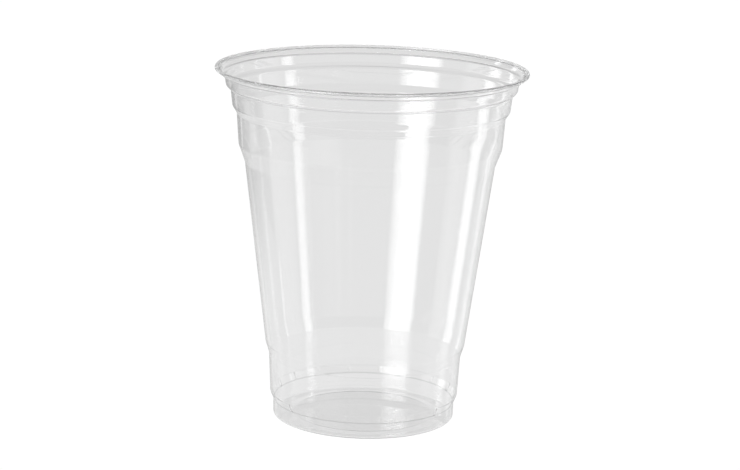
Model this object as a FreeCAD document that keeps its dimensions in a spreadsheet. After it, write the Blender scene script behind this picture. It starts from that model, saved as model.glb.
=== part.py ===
import FreeCAD, Part
import math
import os
import Sketcher

# Clear plastic cold cup: one thermoformed piece of thin sheet, with a rolled rim.
# Millimetres, +Z up, origin at the bottom centre, on the surface that the cup stands on.

SIZES = [
    # the sheet and its rolled rim
    ("sheet_thickness", 0.3),
    ("rim_diameter", 98.0),
    ("cup_height", 111.8),
    ("bead_radius", 0.55),
    ("roll_end_angle", 100.0),
    # floor and foot
    ("floor_diameter", 48.0),
    ("floor_rise", 0.6),
    ("foot_slope_width", 0.6),
    ("foot_ring_width", 4.2),
    ("foot_top_diameter", 57.8),
    ("foot_height", 5.1),
    # the step over the foot and the band above it
    ("band_low_diameter", 59.8),
    ("foot_step_height", 2.4),
    ("band_top_diameter", 61.1),
    ("band_height", 12.6),
    ("wall_low_diameter", 63.4),
    ("low_step_height", 3.6),
    # the long tapered wall and the shoulder above it
    ("shoulder_width", 2.05),
    ("wall_height", 58.2),
    ("grip_lean", 0.7),
    ("shoulder_height", 5.6),
    # the upper bands, where stacked cups meet, and the neck under the rim
    ("stack_step_width", 1.4),
    ("grip_height", 9.9),
    ("neck_lean", 0.6),
    ("stack_step_height", 2.3),
    ("flare_width", 1.45),
    ("neck_height", 5.3),
    ("lip_lean", 0.5),
    ("flare_height", 0.9),
    ("lip_edge_width", 2.0),
    ("lip_height", 3.3),
    ("seat_width", 1.0),
    ("seat_rise", 0.2),
    # bends of the sheet, measured on their hollow side
    ("tight_bend", 0.5),
    ("soft_bend", 3.0),
    # small upright ribs on the step over the foot
    ("rib_count", 18),
    ("rib_width", 0.8),
    ("rib_proud", 0.25),
    ("rib_margin", 0.2),
]

# Widths in from the rim, which the upper corners keep when the rim's diameter changes.
RIM_INWARD = (
    "lip_edge_width", "seat_width", "lip_lean", "flare_width",
    "neck_lean", "stack_step_width", "grip_lean", "shoulder_width",
)


def inward(count):
    """Radius expression of a corner that lies this many widths in from the rim."""
    return " - ".join(["sizes.rim_diameter / 2"] + ["sizes." + name for name in RIM_INWARD[:count]])


# Corners of the outer face, from the axis out and up: name, radius, and rise over the last one.
CORNERS = [
    ("floor_edge", "sizes.floor_diameter / 2", "0"),
    ("ring_inside", "sizes.floor_diameter / 2 + sizes.foot_slope_width", "-sizes.floor_rise"),
    ("foot_corner",
     "sizes.floor_diameter / 2 + sizes.foot_slope_width + sizes.foot_ring_width", "0"),
    ("foot_top", "sizes.foot_top_diameter / 2", "sizes.foot_height"),
    ("band_low", "sizes.band_low_diameter / 2", "sizes.foot_step_height"),
    ("band_top", "sizes.band_top_diameter / 2", "sizes.band_height"),
    ("wall_low", "sizes.wall_low_diameter / 2", "sizes.low_step_height"),
    ("wall_top", inward(8), "sizes.wall_height"),
    ("grip_low", inward(7), "sizes.shoulder_height"),
    ("grip_top", inward(6), "sizes.grip_height"),
    ("neck_low", inward(5), "sizes.stack_step_height"),
    ("neck_top", inward(4), "sizes.neck_height"),
    ("lip", inward(3), "sizes.flare_height"),
    ("lip_top", inward(2), "sizes.lip_height"),
    ("seat_edge", inward(1), "sizes.seat_rise"),
]
SOFT_BENDS = ("wall_top", "grip_low")

# Ends of a sketched line or arc, and the fixed places of a sketch, as constraints name them.
START, END, CENTRE = range(1, 4)
ORIGIN = (-1, START)
FLAT_AXIS, UP_AXIS = range(-1, -3, -1)


def fill_sheet(document):
    """Writes each size and its alias into the spreadsheet."""
    cells = document.addObject("Spreadsheet::Sheet", "sizes")
    for row, (alias, number) in enumerate(SIZES, start=1):
        cells.set("A%d" % row, alias)
        cells.set("B%d" % row, str(number))
        cells.setAlias("B%d" % row, alias)
    document.recompute()
    return cells


def size(alias):
    return float(getattr(sheet, alias))


def origin_feature(role):
    return next(item for item in cup.Origin.OriginFeatures if item.Role == role)


def new_sketch(name, plane):
    """Starts a sketch on one of the upright planes, which both hold the axis."""
    sketch = cup.newObject("Sketcher::SketchObject", name)
    sketch.AttachmentSupport = [(origin_feature(plane), "")]
    sketch.MapMode = "FlatFace"
    return sketch


def hold(sketch, kind, *where):
    sketch.addConstraint(Sketcher.Constraint(kind, *where))


def bind(sketch, name, expression, kind, *where):
    """Adds a named dimension and ties it to the sheet."""
    value = float(sketch.evalExpression(expression))
    index = sketch.addConstraint(Sketcher.Constraint(kind, *where, value))
    sketch.renameConstraint(index, name)
    sketch.setExpression("Constraints." + name, expression)


def vector(point):
    return FreeCAD.Vector(point[0], point[1], 0)


def draw_line(sketch, start, end, construction=False):
    return sketch.addGeometry(Part.LineSegment(vector(start), vector(end)), construction)


def draw_chain(sketch, points, construction=False):
    """Draws lines through the points and joins them end to end."""
    lines = [draw_line(sketch, start, end, construction) for start, end in zip(points, points[1:])]
    for line, following in zip(lines, lines[1:]):
        hold(sketch, "Coincident", line, END, following, START)
    return lines


def draw_arc(sketch, centre, radius, first, last):
    circle = Part.Circle(vector(centre), FreeCAD.Vector(0, 0, 1), radius)
    return sketch.addGeometry(Part.ArcOfCircle(circle, first, last), False)


def direction(start, end):
    length = math.hypot(end[0] - start[0], end[1] - start[1])
    return (end[0] - start[0]) / length, (end[1] - start[1]) / length


def tangent_point(corner, centre, radius):
    """Touch point of the line from the corner that keeps the circle on its right."""
    reach = math.hypot(centre[0] - corner[0], centre[1] - corner[1])
    heading = math.atan2(centre[1] - corner[1], centre[0] - corner[0]) + math.asin(radius / reach)
    length = math.sqrt(reach ** 2 - radius ** 2)
    return corner[0] + length * math.cos(heading), corner[1] + length * math.sin(heading)


def outer_points(sketch):
    """Corners of the outer face as (radius, height), ending where the rim starts to roll."""
    points = [(0.0, size("floor_rise"))]
    for _, radius, rise in CORNERS:
        height = points[-1][1] + float(sketch.evalExpression(rise))
        points.append((float(sketch.evalExpression(radius)), height))
    roll_radius = size("bead_radius") - size("sheet_thickness")
    points.append(tangent_point(points[-1], bead_centre(), roll_radius))
    return points


def inner_points(outer):
    """Offsets the outer corners by the sheet, to the side that holds the drink."""
    points = []
    for index, corner in enumerate(outer):
        near = outer[max(index - 1, 0):index + 2]
        before = direction(near[0], near[1])
        after = direction(near[-2], near[-1])
        scale = size("sheet_thickness") / (1 + before[0] * after[0] + before[1] * after[1])
        points.append((
            corner[0] - scale * (before[1] + after[1]),
            corner[1] + scale * (before[0] + after[0]),
        ))
    return points


def bead_centre():
    return (
        size("rim_diameter") / 2 - size("bead_radius"),
        size("cup_height") - size("bead_radius"),
    )


def on_bead(radius, angle):
    centre = bead_centre()
    return centre[0] + radius * math.cos(angle), centre[1] + radius * math.sin(angle)


def draw_roll(sketch, outer_lip, inner_lip, roll_start):
    """Draws the rim's outward roll, which ends in the cut edge of the sheet."""
    bead_radius = size("bead_radius")
    roll_radius = bead_radius - size("sheet_thickness")
    roll_end = -math.radians(size("roll_end_angle"))
    under = draw_arc(sketch, bead_centre(), roll_radius, roll_end, roll_start)
    over = draw_arc(sketch, bead_centre(), bead_radius, roll_end, roll_start)
    cut_edge = draw_line(sketch, on_bead(roll_radius, roll_end), on_bead(bead_radius, roll_end))
    hold(sketch, "Tangent", outer_lip, END, under, END)
    hold(sketch, "Tangent", inner_lip, END, over, END)
    hold(sketch, "Coincident", under, CENTRE, over, CENTRE)
    hold(sketch, "Coincident", cut_edge, START, under, START)
    hold(sketch, "Coincident", cut_edge, END, over, START)
    hold(sketch, "PointOnObject", under, CENTRE, cut_edge)
    bind(sketch, "bead_centre_radius", "sizes.rim_diameter / 2 - sizes.bead_radius",
         "DistanceX", *ORIGIN, over, CENTRE)
    bind(sketch, "bead_centre_height", "sizes.cup_height - sizes.bead_radius",
         "DistanceY", *ORIGIN, over, CENTRE)
    bind(sketch, "roll_outside", "sizes.bead_radius", "Radius", over)
    bind(sketch, "roll_inside", "sizes.bead_radius - sizes.sheet_thickness", "Radius", under)
    bind(sketch, "cut_edge_radius",
         "sizes.rim_diameter / 2 - sizes.bead_radius * (1 - cos(sizes.roll_end_angle * 1 deg))",
         "DistanceX", *ORIGIN, over, START)


def turn_at(points, index):
    """Angle by which the chain turns at a corner, positive to the left."""
    before = direction(points[index - 1], points[index])
    after = direction(points[index], points[index + 1])
    across = before[0] * after[1] - before[1] * after[0]
    return math.atan2(across, before[0] * after[0] + before[1] * after[1])


def bend_radius(name, hollow):
    """Expression of one face's radius at a bend: on its hollow side, or on the side opposite."""
    bend = "sizes.soft_bend" if name in SOFT_BENDS else "sizes.tight_bend"
    return bend if hollow else bend + " + sizes.sheet_thickness"


def draw_face(sketch, points, side):
    """Draws one face of the sheet as lines with an arc at each corner; side is 1 for the inner."""
    starts = [points[0]]
    ends = []
    arcs = []
    for index, (name, _, _) in enumerate(CORNERS, start=1):
        turn = turn_at(points, index)
        expression = bend_radius(name, turn * side > 0)
        radius = float(sketch.evalExpression(expression))
        setback = radius * math.tan(abs(turn) / 2)
        before = direction(points[index - 1], points[index])
        after = direction(points[index], points[index + 1])
        hand = math.copysign(1, turn)
        ends.append((points[index][0] - setback * before[0], points[index][1] - setback * before[1]))
        starts.append((points[index][0] + setback * after[0], points[index][1] + setback * after[1]))
        centre = (ends[-1][0] - hand * radius * before[1], ends[-1][1] + hand * radius * before[0])
        arrive = math.atan2(ends[-1][1] - centre[1], ends[-1][0] - centre[0])
        first, last = (arrive, arrive + turn) if turn > 0 else (arrive + turn, arrive)
        bend = draw_arc(sketch, centre, radius, first, last)
        entry, leave = (START, END) if turn > 0 else (END, START)
        arcs.append((name, bend, entry, leave, expression))
    ends.append(points[-1])
    lines = [draw_line(sketch, start, end) for start, end in zip(starts, ends)]
    face = "outer" if side < 0 else "inner"
    for (name, bend, entry, leave, expression), line, following in zip(arcs, lines, lines[1:]):
        hold(sketch, "Tangent", line, END, bend, entry)
        hold(sketch, "Tangent", bend, leave, following, START)
        bind(sketch, "%s_%s_bend" % (name, face), expression, "Radius", bend)
    return lines


def draw_skeleton(sketch, outer):
    """Draws the outer face's straight runs out to their sharp corners, with their sizes."""
    runs = draw_chain(sketch, outer, construction=True)
    hold(sketch, "PointOnObject", runs[0], START, UP_AXIS)
    bind(sketch, "floor_height", "sizes.floor_rise", "DistanceY", *ORIGIN, runs[0], START)
    for run, (name, radius, rise) in zip(runs, CORNERS):
        bind(sketch, name + "_radius", radius, "DistanceX", *ORIGIN, run, END)
        if name == "ring_inside":
            hold(sketch, "PointOnObject", run, END, FLAT_AXIS)
        elif rise == "0":
            hold(sketch, "Horizontal", run)
        else:
            bind(sketch, name + "_rise", rise, "DistanceY", run, START, run, END)
    return runs


def draw_sheet_section(sketch, outer, inner):
    """Draws the closed section of the sheet: outer face, rolled rim, inner face."""
    runs = draw_skeleton(sketch, outer)
    outer_lines = draw_face(sketch, outer, -1)
    inner_lines = draw_face(sketch, inner, 1)
    axis_edge = draw_line(sketch, inner[0], outer[0])
    hold(sketch, "Coincident", axis_edge, START, inner_lines[0], START)
    hold(sketch, "Coincident", axis_edge, END, outer_lines[0], START)
    hold(sketch, "Coincident", outer_lines[0], START, runs[0], START)
    hold(sketch, "PointOnObject", inner_lines[0], START, UP_AXIS)
    hold(sketch, "Coincident", outer_lines[-1], END, runs[-1], END)
    for line, run in zip(outer_lines, runs[:-1]):
        hold(sketch, "PointOnObject", line, END, run)
    for line, run in zip(outer_lines[1:], runs[1:]):
        hold(sketch, "PointOnObject", line, START, run)
    for (name, _, _), face, opposite in zip(CORNERS, inner_lines, outer_lines):
        hold(sketch, "Parallel", face, opposite)
        bind(sketch, name + "_sheet", "sizes.sheet_thickness", "Distance", face, START, opposite)
    hold(sketch, "Parallel", inner_lines[-1], outer_lines[-1])
    centre = bead_centre()
    roll_start = math.atan2(outer[-1][1] - centre[1], outer[-1][0] - centre[0])
    draw_roll(sketch, outer_lines[-1], inner_lines[-1], roll_start)


def draw_rib_section(sketch, step_low, step_high):
    """Draws one rib's section, which lies along the step over the foot."""
    depth = size("sheet_thickness") / 2
    proud = size("rib_proud")
    low = step_low[1] + size("rib_margin")
    high = step_high[1] - size("rib_margin")
    lean = (step_high[0] - step_low[0]) / (step_high[1] - step_low[1])
    low_radius = step_low[0] + lean * size("rib_margin")
    high_radius = step_high[0] - lean * size("rib_margin")
    step_face = draw_line(sketch, step_low, step_high, construction=True)
    corners = [
        (low_radius - depth, low),
        (low_radius + proud, low),
        (high_radius + proud, high),
        (high_radius - depth, high),
    ]
    bottom, front, top, back = draw_chain(sketch, corners + corners[:1])
    hold(sketch, "Coincident", back, END, bottom, START)
    hold(sketch, "Horizontal", bottom)
    hold(sketch, "Horizontal", top)
    hold(sketch, "Parallel", front, step_face)
    hold(sketch, "Parallel", back, step_face)
    bind(sketch, "step_low_radius", "sizes.foot_top_diameter / 2",
         "DistanceX", *ORIGIN, step_face, START)
    bind(sketch, "step_low_height", "sizes.foot_height", "DistanceY", *ORIGIN, step_face, START)
    bind(sketch, "step_high_radius", "sizes.band_low_diameter / 2",
         "DistanceX", *ORIGIN, step_face, END)
    bind(sketch, "step_rise", "sizes.foot_step_height", "DistanceY", step_face, START, step_face, END)
    bind(sketch, "low_end", "sizes.rib_margin", "DistanceY", step_face, START, bottom, START)
    bind(sketch, "high_end", "sizes.rib_margin", "DistanceY", top, START, step_face, END)
    bind(sketch, "proud", "sizes.rib_proud", "Distance", front, START, step_face)
    bind(sketch, "depth", "sizes.sheet_thickness / 2", "Distance", back, START, step_face)


def ring_of_ribs(step_low, step_high):
    """Pads one rib and repeats it about the axis."""
    section = new_sketch("rib_section", "XZ_Plane")
    draw_rib_section(section, step_low, step_high)
    doc.recompute()
    rib = cup.newObject("PartDesign::Pad", "rib")
    rib.Profile = section
    rib.SideType = "Symmetric"
    rib.setExpression("Length", "sizes.rib_width")
    doc.recompute()
    ring = cup.newObject("PartDesign::PolarPattern", "rib_ring")
    ring.Originals = [rib]
    ring.Axis = (origin_feature("Z_Axis"), [""])
    ring.Angle = 360
    ring.setExpression("Occurrences", "sizes.rib_count")
    cup.Tip = ring
    doc.recompute()


def check_document():
    for item in doc.Objects:
        if "Invalid" in item.State or "Error" in item.State:
            raise RuntimeError("%s did not build: %s" % (item.Name, item.State))
    if cup.Shape.isNull() or not cup.Shape.isValid() or len(cup.Shape.Solids) != 1:
        raise RuntimeError("the cup is not one valid solid")


doc = FreeCAD.newDocument("plastic_cup")
sheet = fill_sheet(doc)
cup = doc.addObject("PartDesign::Body", "cup")
cup.Label = "cup"

# The bent sheet, turned about the axis.
sheet_section = new_sketch("sheet_section", "YZ_Plane")
outer = outer_points(sheet_section)
inner = inner_points(outer)
draw_sheet_section(sheet_section, outer, inner)
doc.recompute()
turned_sheet = cup.newObject("PartDesign::Revolution", "turned_sheet")
turned_sheet.Profile = sheet_section
turned_sheet.ReferenceAxis = (sheet_section, ["V_Axis"])
turned_sheet.Angle = 360
doc.recompute()

step_index = [name for name, _, _ in CORNERS].index("foot_top") + 1
ring_of_ribs(outer[step_index], outer[step_index + 1])
check_document()

os.makedirs("parts", exist_ok=True)
cup.Shape.exportStep("parts/%s.step" % cup.Label)
print("cup", round(cup.Shape.Volume / 1000, 2), "cubic centimetres of plastic")
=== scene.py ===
import math

import bpy
import numpy as np
from mathutils import Matrix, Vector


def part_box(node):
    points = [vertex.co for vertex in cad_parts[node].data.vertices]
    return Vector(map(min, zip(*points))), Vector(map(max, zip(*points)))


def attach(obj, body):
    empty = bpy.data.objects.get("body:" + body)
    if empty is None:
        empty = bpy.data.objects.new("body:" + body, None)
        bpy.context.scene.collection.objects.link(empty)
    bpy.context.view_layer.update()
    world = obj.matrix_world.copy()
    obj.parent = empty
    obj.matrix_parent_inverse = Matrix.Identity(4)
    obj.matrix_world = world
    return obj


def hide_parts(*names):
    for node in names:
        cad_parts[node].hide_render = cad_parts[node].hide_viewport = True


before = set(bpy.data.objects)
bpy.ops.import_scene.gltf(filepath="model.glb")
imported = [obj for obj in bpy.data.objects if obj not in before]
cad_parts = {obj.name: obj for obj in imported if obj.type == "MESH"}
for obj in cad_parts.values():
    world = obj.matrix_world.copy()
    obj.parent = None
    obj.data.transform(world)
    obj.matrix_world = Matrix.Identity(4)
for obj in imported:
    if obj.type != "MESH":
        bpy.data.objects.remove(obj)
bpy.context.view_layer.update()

MM = 0.001

# Sizes of the cup, in millimetres.
SHEET = 0.3
BEAD_RADIUS = 0.55
FLOOR_RISE = 0.3
FOOT_TOP = 5.1
STEP_TOP = 7.5
TIGHT_BEND = 0.5
FLOOR_BEND = 2.5
FLARE_BEND = 1.1
SOFT_BEND = 3.0
BOX_LOW, BOX_HIGH = (np.array(corner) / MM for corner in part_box("cup"))
RIM_RADIUS = (BOX_HIGH[0] - BOX_LOW[0]) / 2
CUP_HEIGHT = BOX_HIGH[2]

# Corners of the outer face, from the axis out and up: radius, height, bend radius.
OUTER_CORNERS = [
    (0.0, FLOOR_RISE, 0.0),
    (22.0, FLOOR_RISE, FLOOR_BEND),
    (24.6, 0.0, FLOOR_BEND),
    (28.8, 0.0, TIGHT_BEND),
    (28.9, FOOT_TOP, TIGHT_BEND),
    (29.9, STEP_TOP, TIGHT_BEND),
    (30.55, 20.1, TIGHT_BEND),
    (31.7, 23.7, TIGHT_BEND),
    (39.3, 81.9, SOFT_BEND),
    (41.35, 87.5, SOFT_BEND),
    (42.05, 97.4, TIGHT_BEND),
    (43.45, 99.7, TIGHT_BEND),
    (44.05, 105.0, FLARE_BEND),
    (45.5, 105.9, FLARE_BEND),
    (46.0, 109.2, TIGHT_BEND),
    (47.0, 109.4, TIGHT_BEND),
]

# Ribs pressed into the step over the foot; their width is measured at one radius.
RIB_COUNT = 18
RIB_SPACING = 2 * math.pi / RIB_COUNT
RIB_RADIUS = 29.5
RIB_PROUD = 0.25
RIB_HALF_WIDTH = 0.4
RIB_MIDDLE = (FOOT_TOP + STEP_TOP) / 2
RIB_HALF_HEIGHT = 1.0
RIB_SLOPE = 0.4

# Waves of the drawn wall: share, count round the cup, phase, and turn for each millimetre up.
WAVES = [
    (0.45, 3, 0.6, 0.012),
    (0.30, 7, -1.1, 0.020),
    (0.22, 17, 2.0, -0.015),
    (0.10, 41, 0.0, 0.040),
]
WAVE_DEPTH = 0.055
# They grow in over a height above the foot, and fade out over a height below the flare.
WAVE_START, WAVE_GROWTH = 9.0, 18.0
WAVE_END, WAVE_FADE = 105.0, 14.0

# Mesh steps round the cup, from one rib to the next: close over the rib, wide beside it.
FINE_STEPS, WIDE_STEPS = 8, 10
FINE_ANGLE = 0.056
# Mesh steps along the section: on arcs, on straight runs, and next to a run's two ends.
ARC_STEP = math.radians(11)
RUN_STEP = 5.0
GUARD = 0.25


def unit(vector):
    return vector / np.linalg.norm(vector)


def left_of(vector):
    return np.array((-vector[1], vector[0]))


def run_points(start, end):
    """Points along a straight run, with one close to each end to keep its shading straight."""
    length = np.linalg.norm(end - start)
    way = (end - start) / length
    marks = [0.0, length]
    if length > 3 * GUARD:
        inside = np.linspace(GUARD, length - GUARD, max(2, int(length / RUN_STEP) + 1))
        marks = [0.0, *inside, length]
    return [start + way * mark for mark in marks]


def arc_points(centre, radius, first, last):
    """Points on an arc, without its two ends."""
    count = max(3, math.ceil(abs(last - first) / ARC_STEP))
    angles = np.linspace(first, last, count + 1)[1:-1]
    return [centre + radius * np.array((math.cos(a), math.sin(a))) for a in angles]


def bent_line(corners):
    """Rounds each inner corner of a chain and returns it as a fine line of points."""
    line = []
    start = np.array(corners[0][:2])
    for before, corner, after in zip(corners, corners[1:], corners[2:]):
        here = np.array(corner[:2])
        arriving = unit(here - np.array(before[:2]))
        leaving = unit(np.array(after[:2]) - here)
        turn = math.atan2(
            arriving[0] * leaving[1] - arriving[1] * leaving[0], float(arriving @ leaving)
        )
        radius = corner[2]
        setback = radius * math.tan(abs(turn) / 2)
        entry = here - setback * arriving
        centre = entry + math.copysign(radius, turn) * left_of(arriving)
        first = math.atan2(*(entry - centre)[::-1])
        line += run_points(start, entry)
        line += arc_points(centre, radius, first, first + turn)
        start = here + setback * leaving
    return line + run_points(start, np.array(corners[-1][:2]))


def inner_corners(outer):
    """Offsets the outer corners to the drink's side, each bend about the same centre."""
    corners = []
    for index, (radius, height, bend) in enumerate(outer):
        near = outer[max(index - 1, 0):index + 2]
        before = unit(np.array(near[1][:2]) - np.array(near[0][:2]))
        after = unit(np.array(near[-1][:2]) - np.array(near[-2][:2]))
        place = np.array((radius, height))
        place = place + SHEET * (left_of(before) + left_of(after)) / (1 + before @ after)
        turns_in = before[0] * after[1] - before[1] * after[0] > 0
        corners.append((*place, bend if turns_in else bend + SHEET))
    return corners


def outer_bends(outer):
    """Widens the outer face's bend wherever that face is on the bulging side."""
    corners = [outer[0]]
    for before, here, after in zip(outer, outer[1:], outer[2:]):
        arriving = np.array(here[:2]) - np.array(before[:2])
        leaving = np.array(after[:2]) - np.array(here[:2])
        turns_in = arriving[0] * leaving[1] - arriving[1] * leaving[0] > 0
        corners.append((*here[:2], here[2] + SHEET if turns_in else here[2]))
    return corners + [outer[-1]]


def section_line():
    """The closed section of the sheet: up the outer face, round the rim, down the inside."""
    centre = np.array((RIM_RADIUS - BEAD_RADIUS, CUP_HEIGHT - BEAD_RADIUS))
    roll_radius = BEAD_RADIUS - SHEET
    lip = np.array(OUTER_CORNERS[-1][:2])
    reach = centre - lip
    span = np.linalg.norm(reach)
    heading = math.atan2(reach[1], reach[0]) + math.asin(roll_radius / span)
    length = math.sqrt(span ** 2 - roll_radius ** 2)
    way = np.array((math.cos(heading), math.sin(heading)))
    touch = lip + length * way
    closed = touch - math.sqrt(BEAD_RADIUS ** 2 - roll_radius ** 2) * way
    outer = OUTER_CORNERS + [(*closed, 0.0)]
    low = math.atan2(*(closed - centre)[::-1]) - 2 * math.pi
    top = math.atan2(*(touch - centre)[::-1])
    over = arc_points(centre, BEAD_RADIUS, low, top)
    up = bent_line(outer_bends(outer))
    down = bent_line(inner_corners(OUTER_CORNERS + [(*touch, 0.0)]))[::-1]
    return np.array(up + over + down)


def ridge(away, half_width):
    """1 on a rib and 0 beside it, by the distance from its middle, with sloped edges."""
    return np.clip((half_width - away) / RIB_SLOPE + 0.5, 0, 1)


def rib_push(angle, height):
    """How far the ribs push the sheet out at a place."""
    aside = np.abs((angle + RIB_SPACING / 2) % RIB_SPACING - RIB_SPACING / 2) * RIB_RADIUS
    across = ridge(aside, RIB_HALF_WIDTH)
    along = ridge(np.abs(height - RIB_MIDDLE), RIB_HALF_HEIGHT)
    return RIB_PROUD * across * along


def wave_push(angle, height):
    """The uneven draw of the hot sheet: slow waves round the wall, none at foot and rim."""
    waves = sum(
        share * np.sin(count * angle + phase + height * turn)
        for share, count, phase, turn in WAVES
    )
    grown = np.clip((height - WAVE_START) / WAVE_GROWTH, 0, 1)
    left = np.clip((WAVE_END - height) / WAVE_FADE, 0, 1)
    return WAVE_DEPTH * waves * grown * left


def round_angles():
    """Angles of the mesh's columns."""
    edge = FINE_ANGLE / 2
    fine = np.linspace(-edge, edge, FINE_STEPS, endpoint=False)
    wide = np.linspace(edge, RIB_SPACING - edge, WIDE_STEPS, endpoint=False)
    around = np.append(fine, wide)
    return np.concatenate([rib * RIB_SPACING + around for rib in range(RIB_COUNT)])


def lathe(name, section):
    """Turns a section that starts and ends on the axis into a closed mesh."""
    ring = section[1:-1]
    angles = round_angles()
    columns = len(angles)
    angle, radius = np.meshgrid(angles, ring[:, 0], indexing="ij")
    height = np.broadcast_to(ring[:, 1], radius.shape)
    radius = radius + rib_push(angle, height) + wave_push(angle, height)
    body = np.stack((radius * np.cos(angle), radius * np.sin(angle), height), axis=-1)
    poles = np.array([(0, 0, section[0][1]), (0, 0, section[-1][1])])
    vertices = np.concatenate((body.reshape(-1, 3), poles)) * MM
    count = len(ring)
    first_pole, last_pole = columns * count, columns * count + 1
    faces = []
    for turn in range(columns):
        here, there = turn * count, (turn + 1) % columns * count
        faces += [(here + k, there + k, there + k + 1, here + k + 1) for k in range(count - 1)]
        faces.append((first_pole, there, here))
        faces.append((last_pole, here + count - 1, there + count - 1))
    mesh = bpy.data.meshes.new(name)
    mesh.from_pydata(vertices.tolist(), [], faces)
    mesh.shade_smooth()
    mesh.update()
    piece = bpy.data.objects.new(name, mesh)
    bpy.context.collection.objects.link(piece)
    return piece


class Value:
    """A shader socket that can be used in sums."""

    def __init__(self, material, socket):
        self.material = material
        self.socket = socket

    def maths(self, operation, *values):
        return self.material.node("ShaderNodeMath", {"operation": operation}, *values)

    def __add__(self, other):
        return self.maths("ADD", self, other)

    def __sub__(self, other):
        return self.maths("SUBTRACT", self, other)

    def __rsub__(self, other):
        return self.maths("SUBTRACT", other, self)

    def __mul__(self, other):
        return self.maths("MULTIPLY", self, other)

    def power(self, exponent):
        return self.maths("POWER", self, exponent)

    def absolute(self):
        return self.maths("ABSOLUTE", self)

    __radd__ = __add__
    __rmul__ = __mul__


class Shader:
    """A node tree that is built by naming a node, its settings and its sockets."""

    def __init__(self, owner):
        owner.use_nodes = True
        self.tree = owner.node_tree
        self.tree.nodes.clear()

    def node(self, kind, settings=None, *values, output=0, **named):
        made = self.tree.nodes.new(kind)
        for setting, choice in (settings or {}).items():
            setattr(made, setting, choice)
        sockets = list(enumerate(values))
        sockets += [(label.replace("_", " "), value) for label, value in named.items()]
        for place, value in sockets:
            if isinstance(value, Value):
                self.tree.links.new(value.socket, made.inputs[place])
            else:
                made.inputs[place].default_value = value
        return Value(self, made.outputs[output] if made.outputs else None)

    def place(self, space="Object"):
        return self.node("ShaderNodeTexCoord", output=space)

    def part(self, vector, axis):
        return self.node("ShaderNodeSeparateXYZ", {}, vector, output=axis)

    def fade(self, value, start, end, before, after, curve="LINEAR"):
        """Goes from one level to another while a value goes from a start to an end."""
        kind = {"interpolation_type": curve}
        return self.node("ShaderNodeMapRange", kind, value, start, end, before, after)

    def ray_is(self, kind):
        return self.node("ShaderNodeLightPath", output=kind)

    def glow(self, colour, strength=1.0):
        return self.node("ShaderNodeEmission", {}, Color=colour, Strength=strength)

    def mix(self, factor, first, second):
        return self.node("ShaderNodeMixShader", {}, factor, first, second)


# Finish of the clear sheet: the relief and the dullness of its haze, and its clearness.
STREAK_SCALE = (260, 260, 9)
STREAK_RELIEF, HAZE_RELIEF = 0.6, 0.4
SHEET_ROUGHNESS, HAZE_ROUGHNESS = 0.012, 0.03
SHEET_IOR = 1.57
SHEET_TINT = (0.80, 0.81, 0.82, 1)
SHEET_DENSITY = 60.0
PASSED_LIGHT = (0.97, 0.97, 0.97, 1)
# Painted shade at the folds over the foot: thin darker lines in the sheet's colour, by height and
# strength.
FOLD_SHADE_LINES = [(FOOT_TOP, 0.26), (STEP_TOP, 0.06)]
FOLD_SHADE_REACH = 0.3
# The rolled edge is duller than the wall, and lets some of the light straight through.
RIM_FROM, RIM_FULL = 110.3, 110.8
RIM_ROUGHNESS = 0.10
RIM_ALPHA = 0.58


def clear_plastic():
    """Clear sheet: glossy, with a faint haze, stretch streaks and fine handling marks."""
    material = bpy.data.materials.new("clear_plastic")
    shader = Shader(material)
    place = shader.place()
    streaks_at = shader.node("ShaderNodeMapping", {}, Vector=place, Scale=STREAK_SCALE)
    streaks = shader.node(
        "ShaderNodeTexNoise", {}, Vector=streaks_at, Scale=1.0, Detail=2.0, Roughness=0.5
    )
    haze = shader.node(
        "ShaderNodeTexNoise", {}, Vector=place, Scale=90.0, Detail=3.0, Roughness=0.6
    )
    relief = streaks * STREAK_RELIEF + haze * HAZE_RELIEF
    bump = shader.node("ShaderNodeBump", {}, Strength=0.12, Distance=0.0001, Height=relief)
    up = shader.part(place, "Z")
    rim = shader.fade(up, RIM_FROM * MM, RIM_FULL * MM, 0.0, 1.0)
    # Painted shade: the colour is made darker in thin lines at the folds.
    fold_shaded_tint = 1.0
    for level, strength in FOLD_SHADE_LINES:
        away = (up - level * MM).absolute()
        fold_shaded_tint = fold_shaded_tint - shader.fade(away, 0.0, FOLD_SHADE_REACH * MM, strength, 0.0)
    plastic = shader.node(
        "ShaderNodeBsdfPrincipled",
        {},
        Base_Color=fold_shaded_tint,
        Roughness=haze * HAZE_ROUGHNESS + SHEET_ROUGHNESS + rim * RIM_ROUGHNESS,
        IOR=SHEET_IOR,
        Alpha=1 - rim * (1 - RIM_ALPHA),
        Transmission_Weight=1.0,
        Normal=bump,
    )
    passing = shader.node("ShaderNodeBsdfTransparent", {}, Color=PASSED_LIGHT)
    mixed = shader.mix(shader.ray_is("Is Shadow Ray"), plastic, passing)
    absorbed = shader.node(
        "ShaderNodeVolumeAbsorption", {}, Color=SHEET_TINT, Density=SHEET_DENSITY
    )
    shader.node("ShaderNodeOutputMaterial", {}, Surface=mixed, Volume=absorbed)
    return material


# The stage, in metres. The eye sees its paper and its room as plain white.
WHITE = (1, 1, 1, 1)
WHITE_TO_EYE = 1.02
PAPER_HALF_WIDTH = 0.55
PAPER_FRONT, PAPER_BACK = -0.9, 1.6
PAPER_DROP = 0.0001
# What the cup sees: the paper is brightest along its middle and shaded at the left behind.
PAPER_GLOW = 0.842
PAPER_EDGE_GLOW = 0.50
EVEN_HALF_WIDTH = 0.13
SHADE = 0.48
SHADE_LEFT_FROM, SHADE_LEFT_FULL = -0.10, -0.24
SHADE_BACK_FROM, SHADE_BACK_FULL = 0.02, 0.12
SHEEN_IOR = 1.25
SHEEN_FALL = 2.0
SHEEN_GAIN = 5.0
SHEEN_ROUGHNESS = 0.1
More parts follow.
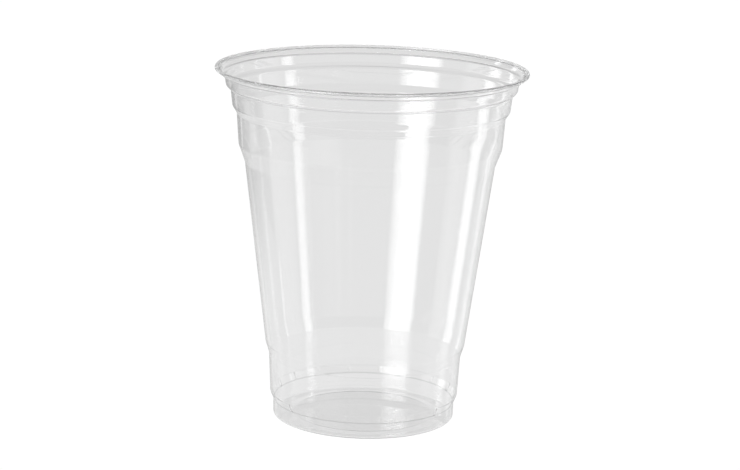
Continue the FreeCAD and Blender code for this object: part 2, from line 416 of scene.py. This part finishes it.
# The room's brightness, by how far up a look goes: 1 is straight up, 0 is level.
ROOM_LEVEL = 0.75
ROOM_TOP = 0.42
ROOM_BELOW = 0.50
TOP_FROM, TOP_FULL = 0.16, 0.30
BELOW_FULL, BELOW_FROM = -0.04, 0.02
# Upright cards of light, all at one distance from the cup.
CARD_DISTANCE = 1.1
CARD_LOW, CARD_HIGH = -0.13, 0.70
LINE_LOW = 0.045
CARD_FALL = 2.4


def pale_paper():
    """Smooth paper, best lit along its middle; it mirrors the lights at low angles."""
    material = bpy.data.materials.new("pale_paper")
    shader = Shader(material)
    place = shader.place()
    across = shader.part(place, "X")
    level = shader.fade(
        across.absolute(), EVEN_HALF_WIDTH, PAPER_HALF_WIDTH, PAPER_GLOW, PAPER_EDGE_GLOW, "SMOOTHSTEP"
    )
    along = shader.part(place, "Y")
    left = shader.fade(across, SHADE_LEFT_FROM, SHADE_LEFT_FULL, 0.0, SHADE)
    behind = shader.fade(along, SHADE_BACK_FROM, SHADE_BACK_FULL, 0.0, 1.0)
    lit = shader.glow(level - left * behind)
    mirror = shader.node("ShaderNodeBsdfAnisotropic", {}, Color=WHITE, Roughness=SHEEN_ROUGHNESS)
    sheen = shader.node("ShaderNodeFresnel", {}, SHEEN_IOR).power(SHEEN_FALL) * SHEEN_GAIN
    smooth = shader.mix(sheen, lit, mirror)
    both = shader.mix(shader.ray_is("Is Camera Ray"), smooth, shader.glow(WHITE, WHITE_TO_EYE))
    shader.node("ShaderNodeOutputMaterial", {}, Surface=both)
    return material


def studio_room():
    """A pale room, darker at its ceiling and below the table."""
    world = bpy.data.worlds.new("studio")
    bpy.context.scene.world = world
    shader = Shader(world)
    up = shader.part(shader.place("Generated"), "Z")
    above = shader.fade(up, TOP_FROM, TOP_FULL, ROOM_LEVEL, ROOM_TOP)
    below = shader.fade(up, BELOW_FULL, BELOW_FROM, ROOM_BELOW - ROOM_LEVEL, 0.0)
    seen = shader.ray_is("Is Camera Ray")
    level = seen * WHITE_TO_EYE + (1 - seen) * (above + below)
    back = shader.node("ShaderNodeBackground", {}, Color=level, Strength=1.0)
    shader.node("ShaderNodeOutputWorld", {}, Surface=back)


def stage_sheet(name, corners, material):
    mesh = bpy.data.meshes.new(name)
    mesh.from_pydata(corners, [], [(0, 1, 2, 3)])
    mesh.materials.append(material)
    piece = bpy.data.objects.new(name, mesh)
    bpy.context.collection.objects.link(piece)
    return piece


def floor():
    wide, near, far, level = PAPER_HALF_WIDTH, PAPER_FRONT, PAPER_BACK, -PAPER_DROP
    corners = [(-wide, near, level), (wide, near, level), (wide, far, level), (-wide, far, level)]
    stage_sheet("floor", corners, pale_paper())


def soft_light(brightness):
    """Light that fades to the room's own level at both upright edges of its card."""
    material = bpy.data.materials.new("soft_light")
    shader = Shader(material)
    edge = shader.part(shader.place(), "X").absolute().power(CARD_FALL)
    light = shader.glow((1 - edge) * (brightness - ROOM_LEVEL) + ROOM_LEVEL)
    shader.node("ShaderNodeOutputMaterial", {}, Surface=light)
    return material


def light_card(name, bearing, width, brightness, low=CARD_LOW):
    """An upright softbox, placed and as wide as two angles in degrees that the cup sees.

    The bearing is measured from the camera's side, positive to the right.
    """
    corners = [(-1, 0, low), (1, 0, low), (1, 0, CARD_HIGH), (-1, 0, CARD_HIGH)]
    card = stage_sheet(name, corners, soft_light(brightness))
    angle = math.radians(bearing)
    half = CARD_DISTANCE * math.tan(math.radians(width) / 2)
    card.location = (CARD_DISTANCE * math.sin(angle), -CARD_DISTANCE * math.cos(angle), 0)
    card.rotation_euler = (0, 0, angle)
    card.scale = (half, 1, 1)
    card.visible_camera = False


def studio_lights():
    light_card("left_front_box", -42.2, 38, 4.7)
    light_card("right_side_strip", 74.5, 14, 2.8)
    light_card("right_wall_glow", 97, 32, 1.15)
    light_card("right_back_line", 109, 4.5, 2.0, LINE_LOW)
    light_card("left_wall_glow", -95, 26, 1.25)
    light_card("left_side_strip", -119, 20, 2.6)
    light_card("left_back_strip", -147, 7, 2.0)


# The camera, found from the outline of the cup in the photo: metres, radians and pixels.
CAMERA_DISTANCE = 0.7636
CAMERA_HEIGHT = 0.2311
CAMERA_PAN = 0.0009
CAMERA_TILT = 0.2224
CAMERA_ROLL = 0.0277
FOCAL_PIXELS = 2477.2
PHOTO_WIDTH = 740
SENSOR = 36.0


def photo_camera():
    lens = bpy.data.cameras.new("photo_camera")
    lens.sensor_width = SENSOR
    lens.lens = FOCAL_PIXELS * SENSOR / PHOTO_WIDTH
    camera = bpy.data.objects.new("photo_camera", lens)
    turn = Matrix.Rotation(-CAMERA_PAN, 4, "Z")
    tilt = Matrix.Rotation(math.pi / 2 - CAMERA_TILT, 4, "X")
    roll = Matrix.Rotation(CAMERA_ROLL, 4, "Z")
    place = Matrix.Translation((0, -CAMERA_DISTANCE, CAMERA_HEIGHT))
    camera.matrix_world = place @ turn @ tilt @ roll
    bpy.context.collection.objects.link(camera)
    bpy.context.scene.camera = camera


cup = lathe("clear_cup", section_line())
cup.data.materials.append(clear_plastic())
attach(cup, "root")
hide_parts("cup")

floor()
studio_room()
studio_lights()
photo_camera()
bpy.context.scene.view_settings.view_transform = "Standard"
